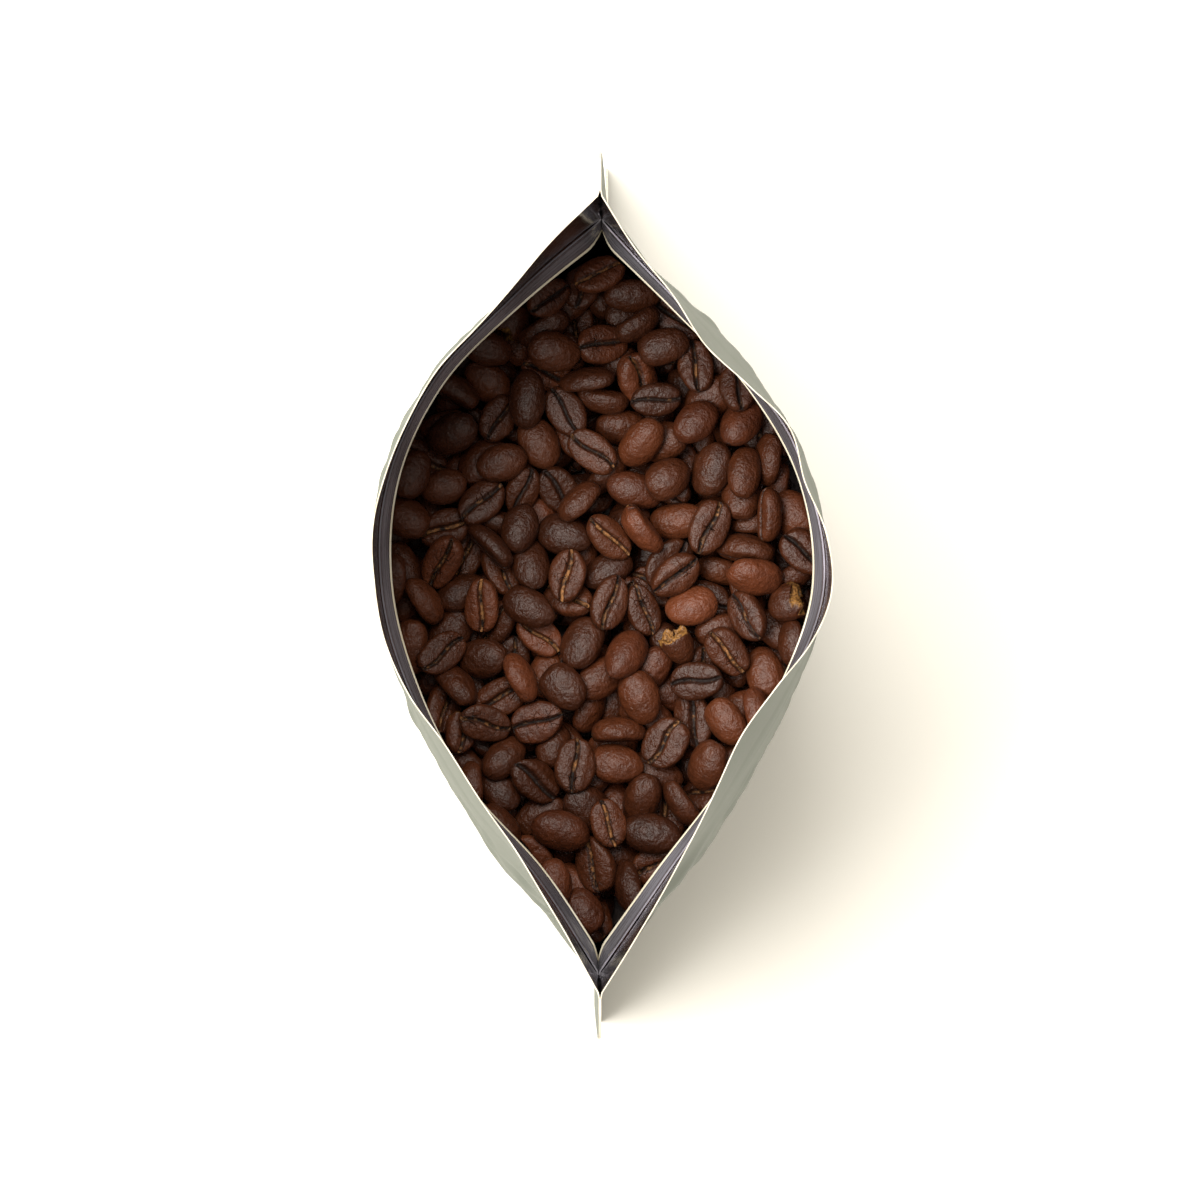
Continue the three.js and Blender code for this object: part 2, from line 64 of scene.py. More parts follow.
def add_camera():
    """A camera above the bag, turned so that +X is the top of the picture."""
    focal_pixels = LIP_SCALE * CAMERA_ABOVE_LIP
    table_scale = focal_pixels / (CAMERA_ABOVE_LIP + LIP_HEIGHT)
    aside = (BAG_MIDDLE_PIXEL - IMAGE_PIXELS / 2) / table_scale
    place = (aside * MM, 0, (CAMERA_ABOVE_LIP + LIP_HEIGHT) * MM)
    bpy.ops.object.camera_add(location=place, rotation=(0, 0, math.radians(-90)))
    camera = bpy.context.object
    camera.name = "photo_camera"
    camera.data.sensor_width = FULL_FRAME
    camera.data.lens = FULL_FRAME * focal_pixels / IMAGE_PIXELS
    camera.data.clip_start = 0.05
    bpy.context.scene.camera = camera
    print(f"camera: {camera.data.lens:.0f} mm lens, {place[2]:.2f} m above the table")


add_camera()

# %% [markdown]
# ## Shader maths
# A material is a network of nodes. Written out one by one such a network is long and hard to
# read, so a small class wraps a socket. Adding, subtracting or multiplying wrapped sockets adds the
# Math node that does it, and the expression reads like the sum it stands for.


# %% Sockets that can be added and multiplied
class Wire:
    """A value in a node tree that works with +, - and * like a number."""

    def __init__(self, tree, socket):
        self.tree = tree
        self.socket = socket

    def math(self, operation, *others, swap=False):
        node = self.tree.nodes.new("ShaderNodeMath")
        node.operation = operation
        values = [*others, self] if swap else [self, *others]
        for slot, value in zip(node.inputs, values):
            if isinstance(value, Wire):
                self.tree.links.new(value.socket, slot)
            else:
                slot.default_value = value
        return Wire(self.tree, node.outputs[0])

    def __add__(self, other):
        return self.math("ADD", other)

    def __sub__(self, other):
        return self.math("SUBTRACT", other)

    def __rsub__(self, other):
        return self.math("SUBTRACT", other, swap=True)

    def __mul__(self, other):
        return self.math("MULTIPLY", other)

    __radd__ = __add__
    __rmul__ = __mul__

    def between(self, low, high):
        """0 below low, 1 above high, and a smooth step between them."""
        node = self.tree.nodes.new("ShaderNodeMapRange")
        node.interpolation_type = "SMOOTHSTEP"
        self.tree.links.new(self.socket, node.inputs["Value"])
        node.inputs["From Min"].default_value = low
        node.inputs["From Max"].default_value = high
        return Wire(self.tree, node.outputs["Result"])


class Finish:
    """A material and short ways to add nodes to it."""

    def __init__(self, name):
        self.material = bpy.data.materials.new(name)
        self.material.use_nodes = True
        self.tree = self.material.node_tree
        self.shader = self.tree.nodes["Principled BSDF"]

    def node(self, kind, output=0, settings=None, **inputs):
        """A node of any kind: its settings first, then the values or wires of its sockets."""
        node = self.tree.nodes.new(kind)
        for name, value in (settings or {}).items():
            setattr(node, name, value)
        for name, value in inputs.items():
            self.put(node.inputs[name.replace("_", " ")], value)
        return Wire(self.tree, node.outputs[output])

    def put(self, socket, value):
        if isinstance(value, Wire):
            self.tree.links.new(value.socket, socket)
        else:
            socket.default_value = value

    def place(self):
        return self.node("ShaderNodeTexCoord", "Object")

    def noise(self, vector, scale, detail=2.0, roughness=0.5):
        return self.node("ShaderNodeTexNoise", "Fac", Vector=vector, Scale=scale, Detail=detail,
                         Roughness=roughness)

    def attribute(self, name):
        return self.node("ShaderNodeAttribute", "Fac", {"attribute_name": name})

    def blend(self, share, first, second):
        """From the first colour to the second as share goes from 0 to 1."""
        node = self.tree.nodes.new("ShaderNodeMix")
        node.data_type = "RGBA"
        self.put(node.inputs["Factor"], share)
        self.put(node.inputs["A"], first)
        self.put(node.inputs["B"], second)
        return Wire(self.tree, node.outputs["Result"])

    def bump(self, height, distance, strength=1.0):
        return self.node("ShaderNodeBump", "Normal", Height=height, Distance=distance,
                         Strength=strength)

    def surface(self, **inputs):
        """Sets the Principled shader's sockets and gives the material."""
        for name, value in inputs.items():
            self.put(self.shader.inputs[name.replace("_", " ")], value)
        return self.material


def rgb(red, green, blue):
    """A colour as the screen shows it, from 0 to 255, for a shader socket."""
    linear = [((c / 255 + 0.055) / 1.055) ** 2.4 for c in (red, green, blue)]
    return (*linear, 1)


print("shader helpers ready")

# %% [markdown]
# ## The film
# The pouch is two flat panels of laminated film, welded along both sides, and a gusset that
# spreads the foot. Film bends but doesn't stretch, so every level of the bag is the same run of
# film laid along another outline: a pointed boat at the foot, a swollen lens where the beans push,
# a rounded diamond at the zipper, and a lip that leans in and out.
# Cloth simulation could find such folds, but the photo fixes where the lip runs, so the film is
# modelled directly: a grid, like the flat panel, whose points are moved to their place on the bag.

# %% Sizes of the bag, as in the model
BAG_WIDTH = 190
SEAL_WIDTH = 8.4
FREE_FILM = BAG_WIDTH - 2 * SEAL_WIDTH
LIP_DIP = 3.5
ZIPPER_TOP = 237
ZIPPER_LOW = 224
BULGE_TOP = 165
BULGE_LOW = 95
FOOT_HALF_LENGTH = 79.2
FOOT_BOW = 0.733
LIP_SPREAD = {1: 4.8, -1: 3.6}
BODY_DRAWN_IN = {1: 3.8, -1: 2.0}
PRESSED = 3
SEAL_TURN = 0.94
SWAY_AT_TABLE = {1: -1.4, -1: 0.0}
SWAY_HALFWAY = {1: -0.5, -1: 0.9}
GUSSET_SEAL_LOW = 4
GUSSET_SEAL_RADIUS = 95
GUSSET_FLAT_HALF = 30
GUSSET_ROLL = 0.3
FRONT = {
    "sign": -1,
    "mouth_x": [-69.8, -52.9, -36.4, -18.5, 1, 21.4, 39.5, 54.5, 68.8],
    "mouth_y": [0, -11.9, -24.4, -35, -41.5, -39.2, -29.3, -15, 0],
    "swell": [0, 4.4, 2.9, 1.6, 1.4, 1.4, 1.8, 3.2, 0],
    "lean": [0, 0.1, -0.3, -1.7, -3.4, -4.6, -3.2, -0.4, 1, 0.1, -1.8, -0.4, -2.7, -4.1, -2.3, -1.8,
             0],
}
BACK = {
    "sign": 1,
    "mouth_x": [-69.8, -52.6, -37.1, -18.6, 1.5, 22.2, 40.7, 55.6, 68.8],
    "mouth_y": [0, 11.8, 25.7, 35.4, 40.7, 39.4, 30.7, 16.1, 0],
    "swell": [0, 5, 2, 1.8, 2, 2.2, 2.2, 3, 0],
    "lean": [0, -0.3, -0.7, -2.3, -3.1, -2.7, -0.5, 0.6, 0.6, 0.8, -0.1, -0.6, -0.7, -1.3, -0.8, 0.1,
             0],
}
print(f"film between the seals: {FREE_FILM:.1f} mm")


# %% Curves through named values
def mix(first, second, share):
    return first + (second - first) * share


def smooth(value):
    t = np.clip(value, 0.0, 1.0)
    return t * t * (3 - 2 * t)


def through(values, u):
    """A smooth curve through evenly spaced values, read at u from -1 to 1."""
    values = np.asarray(values, float)
    ends = [2 * values[0] - values[1], 2 * values[-1] - values[-2]]
    padded = np.concatenate([[ends[0]], values, [ends[1]]])
    last = len(values) - 1
    place = (np.asarray(u, float) + 1) / 2 * last
    i = np.clip(np.floor(place).astype(int), 0, last - 1)
    t = place - i
    p0, p1, p2, p3 = (padded[i + k] for k in range(4))
    bend = 2 * p0 - 5 * p1 + 4 * p2 - p3
    return p1 + 0.5 * t * (p2 - p0 + t * (bend + t * (3 * (p1 - p2) + p3 - p0)))


def outward(curve, u, sign):
    """The level direction out of the bag at u, across a curve given by its x and y."""
    step = 0.01
    ax, ay = curve(np.maximum(-1, u - step))
    bx, by = curve(np.minimum(1, u + step))
    length = np.hypot(bx - ax, by - ay)
    return -(by - ay) / length * sign, (bx - ax) / length * sign


print("middle of the back of the mouth:", through(BACK["mouth_y"], 0.0))


# %% The outline of the bag at any height
def mouth_outline(side, u):
    return through(side["mouth_x"], u), through(side["mouth_y"], u)


def at_ends(lengths, u):
    """A length that is given at each end of the bag and fades towards its middle, out along X."""
    return np.where(np.asarray(u) > 0, lengths[1], -lengths[-1]) * np.abs(u) ** 3


def body_outline(side, u):
    x, y = mouth_outline(side, u)
    swell = through(side["swell"], u)
    nx, ny = outward(lambda v: mouth_outline(side, v), u, side["sign"])
    return x + nx * swell - at_ends(BODY_DRAWN_IN, u), y + ny * swell


def foot_outline(side, u):
    radius = FOOT_HALF_LENGTH / math.sin(FOOT_BOW)
    bow = np.cos(FOOT_BOW * u) - math.cos(FOOT_BOW)
    return radius * np.sin(FOOT_BOW * u), side["sign"] * radius * bow


def lip_outline(side, u):
    x, y = mouth_outline(side, u)
    lean = through(side["lean"], u)
    nx, ny = outward(lambda v: mouth_outline(side, v), u, side["sign"])
    return x + nx * lean + at_ends(LIP_SPREAD, u), y + ny * lean


def lip_height(side, u):
    lean = through(side["lean"], u)
    return LIP_HEIGHT - LIP_DIP * (1 - u * u) - lean * lean / (LIP_HEIGHT - ZIPPER_LOW)


def sway(u, z):
    rise = z / LIP_HEIGHT
    right = np.asarray(u) > 0
    at_table = np.where(right, SWAY_AT_TABLE[1], SWAY_AT_TABLE[-1])
    halfway = np.where(right, SWAY_HALFWAY[1], SWAY_HALFWAY[-1])
    return (at_table * (1 - rise) + halfway * np.sin(math.pi * rise)) * np.abs(u) ** 4


def film_point(side, u, z):
    """Where the inner face of the film stands, at u along the bag and z above the table."""
    u, z = np.broadcast_arrays(np.asarray(u, float), np.asarray(z, float))
    foot, body = foot_outline(side, u), body_outline(side, u)
    mouth, lip = mouth_outline(side, u), lip_outline(side, u)
    share = np.clip((z - ZIPPER_LOW) / (lip_height(side, u) - ZIPPER_LOW), 0, 1)
    to_body = smooth(z / BULGE_LOW)
    to_mouth = smooth((z - BULGE_TOP) / (ZIPPER_LOW - BULGE_TOP))
    to_lip = mix(share, share * share, 0.4)
    x, y = (mix(mix(mix(foot[k], body[k], to_body), mouth[k], to_mouth), lip[k], to_lip)
            for k in (0, 1))
    return x, y + sway(u, z)


def film_offset(side, u, z, distance):
    """The same point moved out of the bag. At a seal the way out is square to the seal."""
    x, y = film_point(side, u, z)
    nx, ny = outward(lambda v: film_point(side, v, z), u, side["sign"])
    flat = smooth((np.abs(u) - SEAL_TURN) / (1 - SEAL_TURN))
    dx, dy = mix(nx, 0, flat), mix(ny, side["sign"], flat)
    length = np.hypot(dx, dy)
    return x + dx / length * distance, y + dy / length * distance


def pressed(z):
    """How far the panels stay pressed together next to a side seal."""
    return PRESSED * smooth(z / BULGE_LOW) * smooth((LIP_HEIGHT - z) / (LIP_HEIGHT - ZIPPER_TOP))


def gusset_seal_height(u):
    along = u * FREE_FILM / 2
    return GUSSET_SEAL_LOW + GUSSET_SEAL_RADIUS - np.sqrt(GUSSET_SEAL_RADIUS**2 - along * along)


def gusset_middle_height(u):
    flat = GUSSET_FLAT_HALF / (FREE_FILM / 2)
    climb = np.maximum(0, np.abs(u) - flat) / (1 - flat)
    return gusset_seal_height(1.0) * climb * climb


print("lip height in the middle:", round(float(lip_height(BACK, 0.0)), 1), "mm")

# %% [markdown]
# ## Creases
# Film that bends two ways at once buckles. On a filled pouch the buckles start at the side seals
# and run in towards the middle, a few more fan out of the gusset's corners, and where whole beans
# press from inside the film is softly dimpled. Each crease is one line on the flat panel, given by
# where it starts, how far it runs, its slant, its width and its depth, drawn from seeded numbers.


# %% Relief of the film, in millimetres out of the bag
def seeded(seed):
    """A repeatable stream of numbers from 0 to 1."""
    state = seed

    def draw():
        nonlocal state
        state = (state + 0x6D2B79F5) & 0xFFFFFFFF
        t = ((state ^ (state >> 15)) * (1 | state)) & 0xFFFFFFFF
        t = ((t + (((t ^ (t >> 7)) * (61 | t)) & 0xFFFFFFFF)) ^ t) & 0xFFFFFFFF
        return ((t ^ (t >> 14)) & 0xFFFFFFFF) / 4294967296

    return draw


CREASES_PER_SEAL = 7
CREASE_HEIGHTS = (52, 205)


def seal_creases(side):
    """Buckles that run in from each side seal: start, height, run, slant, width and depth."""
    draw = seeded(31 + side["sign"])
    creases = []
    for end in (-1, 1):
        for k in range(CREASES_PER_SEAL):
            low, high = CREASE_HEIGHTS
            height = mix(low, high, (k + 0.2 + 0.6 * draw()) / CREASES_PER_SEAL)
            creases.append({
                "end": end, "height": height, "run": mix(20, 46, draw()),
                "slant": mix(-0.5, 0.5, draw()), "width": mix(3.2, 6.5, draw()),
                "depth": mix(0.5, 1.3, draw()) * (1 if draw() < 0.35 else -1),
            })
    return creases


def crease_relief(side, u, z):
    """The sum of all seal creases, each a rounded furrow that fades at both ends."""
    from_middle = u * FREE_FILM / 2
    relief = np.zeros_like(from_middle)
    for crease in seal_creases(side):
        inwards = FREE_FILM / 2 - crease["end"] * from_middle
        along = inwards / crease["run"]
        fade = smooth(along * 4) * smooth((1 - along) * 1.6)
        line = crease["height"] + crease["slant"] * inwards
        across = (z - line) / (crease["width"] * (0.6 + 0.8 * along))
        relief += crease["depth"] * fade * np.exp(-across * across)
    return relief


def bean_dimples(side, u, z):
    """Soft lumps where beans lean on the film, below the top of the heap."""
    x = u * FREE_FILM / 2
    lumps = np.zeros_like(x)
    for spacing, tilt, phase in ((11.0, 0.4, 1.0), (8.3, -0.9, 2.4), (14.6, 1.7, 0.3)):
        a = 2 * math.pi / spacing
        lumps += np.sin(a * (x * math.cos(tilt) + z * math.sin(tilt)) + phase + side["sign"])
        lumps += np.sin(a * (z * math.cos(tilt) - x * math.sin(tilt)) - phase)
    filled = smooth((200 - z) / 16) * smooth((z - gusset_seal_height(u) - 4) / 20)
    return 0.11 * lumps * filled * smooth((1 - np.abs(u)) / 0.2)


def gusset_relief(side, u, z):
    """The weld of the gusset: a flat band below an arc, and a roll where the bag swells above it."""
    above = z - gusset_seal_height(u)
    roll = np.exp(-((above - 5) / 4.0) ** 2) * 0.5
    step = -0.45 * np.exp(-((above + 0.5) / 1.6) ** 2)
    return (roll + step) * smooth((1 - np.abs(u)) / 0.08)


def corner_relief(side, u, z):
    """Two long folds that fan up from each foot corner."""
    inwards = (1 - np.abs(u)) * FREE_FILM / 2
    relief = np.zeros_like(inwards)
    for start, slant, depth in ((46, 1.25, -1.0), (40, 2.6, 0.7)):
        line = start + slant * inwards
        fade = smooth(inwards / 8) * smooth((42 - inwards) / 30)
        relief += depth * fade * np.exp(-((z - line) / (4 + 0.12 * inwards)) ** 2)
    return relief


def zipper_relief(side, u, z):
    """The zipper strip is stiff and shows through the film as a low band with two lines."""
    band = smooth((z - ZIPPER_LOW + 1.5) / 1.5) * smooth((ZIPPER_TOP + 1.5 - z) / 1.5)
    middle = (ZIPPER_LOW + ZIPPER_TOP) / 2
    lines = sum(np.exp(-((z - middle - offset) / 0.9) ** 2) for offset in (-2.4, 2.4))
    return (0.22 * band + 0.16 * lines) * smooth((1 - np.abs(u)) / 0.04)


def film_relief(side, u, z):
    parts = (crease_relief, bean_dimples, gusset_relief, corner_relief, zipper_relief)
    return sum(part(side, u, z) for part in parts) * smooth((1 - np.abs(u)) / 0.03)


print("creases on the front panel:", len(seal_creases(FRONT)))

# %% [markdown]
# ## The panels
# One grid is one panel, as it lies flat before it is welded: 190 mm from edge to edge. Its columns
# past the free film are the side seals. There both panels lie on each other, in one plane. The
# film gets its thickness at the end from a Solidify modifier.

# %% Helpers for meshes
FILM_THICKNESS = 0.22
PANEL_COLUMNS = 150
PANEL_ROWS = 150


def only(piece):
    """Selects one object and nothing else, and makes it active."""
    bpy.ops.object.select_all(action="DESELECT")
    piece.select_set(True)
    bpy.context.view_layer.objects.active = piece


def corners(piece):
    """The piece's vertices as an array, in metres."""
    values = np.empty(len(piece.data.vertices) * 3)
    piece.data.vertices.foreach_get("co", values)
    return values.reshape(-1, 3)


def move_corners(piece, values):
    piece.data.vertices.foreach_set("co", np.asarray(values, float).ravel())
    piece.data.update()


def flat_grid(name, columns, rows):
    """A grid of the given number of cells that spans -1 to 1 both ways, at the origin."""
    bpy.ops.object.select_all(action="DESELECT")
    bpy.ops.mesh.primitive_grid_add(x_subdivisions=columns, y_subdivisions=rows, size=2)
    piece = bpy.context.object
    piece.name = name
    return piece


def apply_modifier(piece, kind, **settings):
    only(piece)
    modifier = piece.modifiers.new(kind.title(), kind)
    for name, value in settings.items():
        setattr(modifier, name, value)
    bpy.ops.object.modifier_apply(modifier=modifier.name)


def flip_inside_out(piece):
    only(piece)
    bpy.ops.object.mode_set(mode="EDIT")
    bpy.ops.mesh.select_all(action="SELECT")
    bpy.ops.mesh.flip_normals()
    bpy.ops.object.mode_set(mode="OBJECT")


def empty_slots(piece, count):
    """Material slots to be filled later. Faces point at a slot by its number."""
    for _ in range(count):
        piece.data.materials.append(None)


def fill_slots(piece, *materials):
    for number, material in enumerate(materials):
        piece.data.materials[number] = material


def join(name, pieces):
    only(pieces[0])
    for piece in pieces[1:]:
        piece.select_set(True)
    bpy.ops.object.join()
    pieces[0].name = name
    return pieces[0]


def store(piece, name, values):
    """Keeps one number for each vertex, which a material can read by its name."""
    attribute = piece.data.attributes.new(name, "FLOAT", "POINT")
    attribute.data.foreach_set("value", np.asarray(values, np.float32))


print("mesh helpers ready")


# %% Film panels
def panel_place(side, s, t):
    """A point of the panel: s from edge to edge in mm, and t from 0 at the table to 1 at the lip."""
    free = FREE_FILM / 2 - pressed(t * LIP_HEIGHT)
    u = np.clip(s / free, -1, 1)
    z = t * lip_height(side, u)
    past = np.maximum(0, np.abs(s) - free)
    out = FILM_THICKNESS / 2 + film_relief(side, u, z)
    x, y = film_offset(side, u, z, out)
    return x + np.sign(s) * past, y, z


def rounded_top(s, t):
    """Rounds the two upper corners of the panel, as the cutter does."""
    radius = 4.0
    past = np.maximum(0, np.abs(s) - (BAG_WIDTH / 2 - radius))
    drop = radius - np.sqrt(np.maximum(0, radius * radius - past * past))
    return t - drop / LIP_HEIGHT * smooth((t - 0.9) / 0.1)


def add_panel(name, side):
    piece = flat_grid(name, PANEL_COLUMNS, PANEL_ROWS)
    flat = corners(piece)
    s = flat[:, 0] * BAG_WIDTH / 2
    t = rounded_top(s, (flat[:, 1] + 1) / 2)
    x, y, z = panel_place(side, s, t)
    move_corners(piece, np.stack([x, y, z], 1) * MM)
    if side["sign"] > 0:
        flip_inside_out(piece)
    print(f"{name}: {len(piece.data.polygons)} faces")
    return piece


front_panel = add_panel("front_panel", FRONT)
back_panel = add_panel("back_panel", BACK)

# %% [markdown]
# ## The gusset
# The bottom of the bag is a third piece of film. It hangs between the two weld arcs, lies flat on
# the table in the middle and rises to the side seals at both ends, so that the panels stand on
# their own lower edges like a skirt around it.


# %% Gusset
GUSSET_COLUMNS, GUSSET_ROWS = 90, 40
GUSSET_RIPPLE = 0.35


def weld_line(side, u, z):
    """Where the gusset's edge lies: on the inside of the panel, which dips in along the weld."""
    return film_offset(side, u, z, film_relief(side, u, z) - FILM_THICKNESS)


def add_gusset():
    piece = flat_grid("gusset", GUSSET_COLUMNS, GUSSET_ROWS)
    flat = corners(piece)
    u, across = flat[:, 0], (flat[:, 1] + 1) / 2
    seal = gusset_seal_height(u)
    front_x, front_y = weld_line(FRONT, u, seal)
    back_x, back_y = weld_line(BACK, u, seal)
    sag = smooth(across / GUSSET_ROLL) * smooth((1 - across) / GUSSET_ROLL)
    ripple = GUSSET_RIPPLE * np.sin(u * 41) * np.sin(across * 17 + u * 9)
    ripple *= smooth((np.abs(u) - 0.4) / 0.3)
    ripple *= np.sin(math.pi * across)
    middle = gusset_middle_height(u) + FILM_THICKNESS
    z = mix(seal, middle, sag) + np.abs(ripple)
    x, y = mix(front_x, back_x, across), mix(front_y, back_y, across)
    move_corners(piece, np.stack([x, y, z], 1) * MM)
    flip_inside_out(piece)
    print(f"gusset: {len(piece.data.polygons)} faces")
    return piece


gusset = add_gusset()
pouch = join("pouch_film", [front_panel, back_panel, gusset])
empty_slots(pouch, 3)
apply_modifier(pouch, "SOLIDIFY", thickness=FILM_THICKNESS * MM, offset=0, material_offset_rim=2,
               material_offset=1)
bpy.ops.object.shade_smooth_by_angle(angle=math.radians(40))
print(f"pouch film: {len(pouch.data.polygons)} faces")

# %% [markdown]
# ## The zipper
# A press zipper is an extruded plastic profile: a flange that is welded to the film, two guide ribs,
# and below them the lock and a thin bead, which stands furthest into the mouth. The bead's faces
# get a pale cream colour, a painted highlight for the light that its edge catches. A grid with the
# profile across it and the bag's outline along it gives each strip. At both
# ends of the bag the strips are crushed into the side seal, so there they run together and meet.

# %% Zipper strips
STRIP_THICKNESS = 0.3
STRIP_GAP = 0.3
STRIP_STEPS = 200
STRIP_REACH = 0.998
STRIP_CLEARANCE = 0.03
CRUSHED_END = 0.06
CRUSHED_DEPTH = 0.15
BEAD_ROWS = 3
# The profile, from the top edge down: how far it stands off the film, and its height.
STRIP_PROFILE = [
    (0.0, 13.0), (0.12, 12.4), (0.2, 11.0), (0.22, 10.3), (0.62, 9.9), (0.74, 9.5), (0.7, 9.0),
    (0.4, 8.6), (0.42, 7.5), (0.82, 7.1), (0.98, 6.7), (0.92, 6.2), (0.6, 5.8), (0.62, 4.4),
    (1.05, 3.9), (1.3, 3.2), (1.34, 2.2), (1.1, 1.5), (1.12, 0.9), (1.55, 0.6), (1.62, 0.3),
    (1.5, 0.0),
]


def add_strip(name, side):
    piece = flat_grid(name, STRIP_STEPS, len(STRIP_PROFILE) - 1)
    flat = corners(piece)
    row = np.rint((flat[:, 1] + 1) / 2 * (len(STRIP_PROFILE) - 1)).astype(int)
    profile = np.array(STRIP_PROFILE)[row]
    u = flat[:, 0] * STRIP_REACH
    crushed = smooth((1 - np.abs(u)) / CRUSHED_END)
    z = ZIPPER_LOW + profile[:, 1]
    x, y = film_offset(side, u, z, -STRIP_GAP - profile[:, 0] * mix(CRUSHED_DEPTH, 1, crushed))
    middle = sway(u, z)
    least = STRIP_THICKNESS / 2 + STRIP_CLEARANCE
    y = middle + side["sign"] * np.maximum(side["sign"] * (y - middle), least)
    move_corners(piece, np.stack([x, y, z], 1) * MM)
    empty_slots(piece, 2)
    # The bead's rows take the second material, pale cream as a painted highlight.
    bead = len(STRIP_PROFILE) - 1 - BEAD_ROWS
    for face in piece.data.polygons:
        face.material_index = int(min(row[index] for index in face.vertices) >= bead)
    if side["sign"] < 0:
        flip_inside_out(piece)
    apply_modifier(piece, "SOLIDIFY", thickness=STRIP_THICKNESS * MM, offset=0)
    only(piece)
    bpy.ops.object.shade_smooth_by_angle(angle=math.radians(50))
    print(f"{name}: {len(piece.data.polygons)} faces")
    return piece


zipper_front = add_strip("zipper_strip_front", FRONT)
zipper_back = add_strip("zipper_strip_back", BACK)

# %% [markdown]
# ## One coffee bean
# A roasted bean is half an egg: round on its back, and on its face two soft pillows with a crooked
# groove between them, where the silver skin stays behind. It starts as a sphere whose poles lie at
# its two ends, so that the rows of faces run along the bean. The rows are crowded towards the
# groove. The sphere is stretched, flattened below, and the groove is pushed in. Beans differ, so a
# few dozen shapes are made from seeded numbers, and the heap uses them in turn.
# Two numbers stay on every point: how far along the bean it lies, and how far from the groove. The
# finish reads them, and so its skin, cracks and wrinkles follow the shape of each bean.

# %% Bean shapes
BEAN_HALF = (5.2, 3.65, 2.6)
WHOLE_SHAPES = 26
BROKEN_SHAPES = 4
SEGMENTS, RINGS = 44, 26
PLAIN_SEGMENTS, PLAIN_RINGS = 14, 9
CROWDING = 0.55
LENGTH_TO_WIDTH = 1.42
BACK_SHIFT = 0.57
BEAN_SHAPE_SEED, BROKEN_SEED = 500, 900


def ball_points(name, segments, rings):
    """A sphere with its poles on X. Gives the object and its points."""
    bpy.ops.object.select_all(action="DESELECT")
    bpy.ops.mesh.primitive_uv_sphere_add(segments=segments, ring_count=rings, radius=1,
                                         rotation=(0, math.radians(90), 0))
    ball = bpy.context.object
    ball.name = name
    bpy.ops.object.transform_apply(rotation=True)
    return ball, corners(ball)


def waves(points, draw, count, low, high):
    """A sum of soft waves in random directions."""
    total = np.zeros(len(points))
    for _ in range(count):
        way = np.array([mix(-1, 1, draw()) for _ in range(3)])
        way /= np.linalg.norm(way) + 1e-6
        total += np.sin(points @ way * mix(low, high, draw()) + 2 * math.pi * draw())
    return total


def add_bean(name, seed, segments=SEGMENTS, rings=RINGS, broken=False):
    """One bean at the origin, two units long, its groove below. It is sized when it is poured."""
    draw = seeded(seed)
    bean, ball = ball_points(name, segments, rings)
    x = ball[:, 0]
    around = np.arctan2(ball[:, 1], -ball[:, 2])
    around = around - CROWDING * np.sin(around)
    girth = np.maximum(0, 1 - x * x) ** (0.5 * mix(0.82, 1.0, draw()))
    girth = girth * (1 + mix(-0.1, 0.1, draw()) * x)
    y, z = girth * np.sin(around), -girth * np.cos(around)
    below = smooth(-z / 0.25)
    flat = mix(0.45, 0.62, draw())
    z = np.where(z < 0, -flat * np.tanh(-z / flat * 1.1), z * mix(1.02, 1.18, draw()))
    turn = 1 if draw() < 0.5 else -1
    crook = turn * mix(0.05, 0.16, draw())
    line = crook * np.sin(x * mix(2.2, 3.4, draw())) + mix(-0.06, 0.06, draw())
    line += mix(-0.09, 0.09, draw()) * x
    away = y - line * below
    away = np.where(np.abs(around) < math.pi / 2, away, np.sign(around) * (np.abs(around) - BACK_SHIFT))
    ends = smooth((1.0 - np.abs(x)) / 0.14)
    half_width = mix(0.07, 0.12, draw()) * (1 - 0.35 * x * x)
    cut = smooth((half_width * 1.7 - np.abs(away)) / half_width) * below * ends
    pillow = np.exp(-((np.abs(away) - 0.42) / 0.28) ** 2) * below * ends
    uneven = 1 + mix(-0.5, 0.5, draw()) * np.sign(away) * smooth(np.abs(away) / 0.3)
    z = z + mix(0.3, 0.48, draw()) * cut - mix(0.05, 0.13, draw()) * pillow * uneven
    shape = np.stack([x, y, z], 1)
    shape = shape * (1 + 0.009 * waves(shape, draw, 6, 3.5, 8.0))[:, None]
    if broken:
        end = mix(0.0, 0.45, draw()) + 0.07 * waves(shape, draw, 4, 4.0, 9.0)
        shape[:, 0] = np.minimum(shape[:, 0], end)
        store(bean, "raw", (ball[:, 0] > end + 0.02).astype(float))
    else:
        store(bean, "raw", np.zeros(len(shape)))
    move_corners(bean, shape)
    store(bean, "along", x * LENGTH_TO_WIDTH)
    store(bean, "away", np.abs(away))
    return bean


shapes = [add_bean(f"bean_{k}", BEAN_SHAPE_SEED + k) for k in range(WHOLE_SHAPES)]
shapes += [add_bean(f"broken_{k}", BROKEN_SEED + k, broken=True) for k in range(BROKEN_SHAPES)]
plain_shapes = [add_bean(f"plain_{k}", BEAN_SHAPE_SEED + k, PLAIN_SEGMENTS, PLAIN_RINGS)
                for k in range(WHOLE_SHAPES)]
print(f"{len(shapes)} bean shapes of {len(shapes[0].data.polygons)} faces")

# %% [markdown]
# ## Pouring the beans
# The heap is poured, not drawn. Each bean tries some spots, takes the lowest, slides down a few
# millimetres, and rests where its underside first meets the heap. The heap is kept as a height
# for every square millimetre inside the film. The same rule and the same seeds shape the solid.
# A bean that would lie above the fill limit is thrown away. If the bag is too narrow for all the
# beans every further one would be, so the tries are counted and the pour always ends.

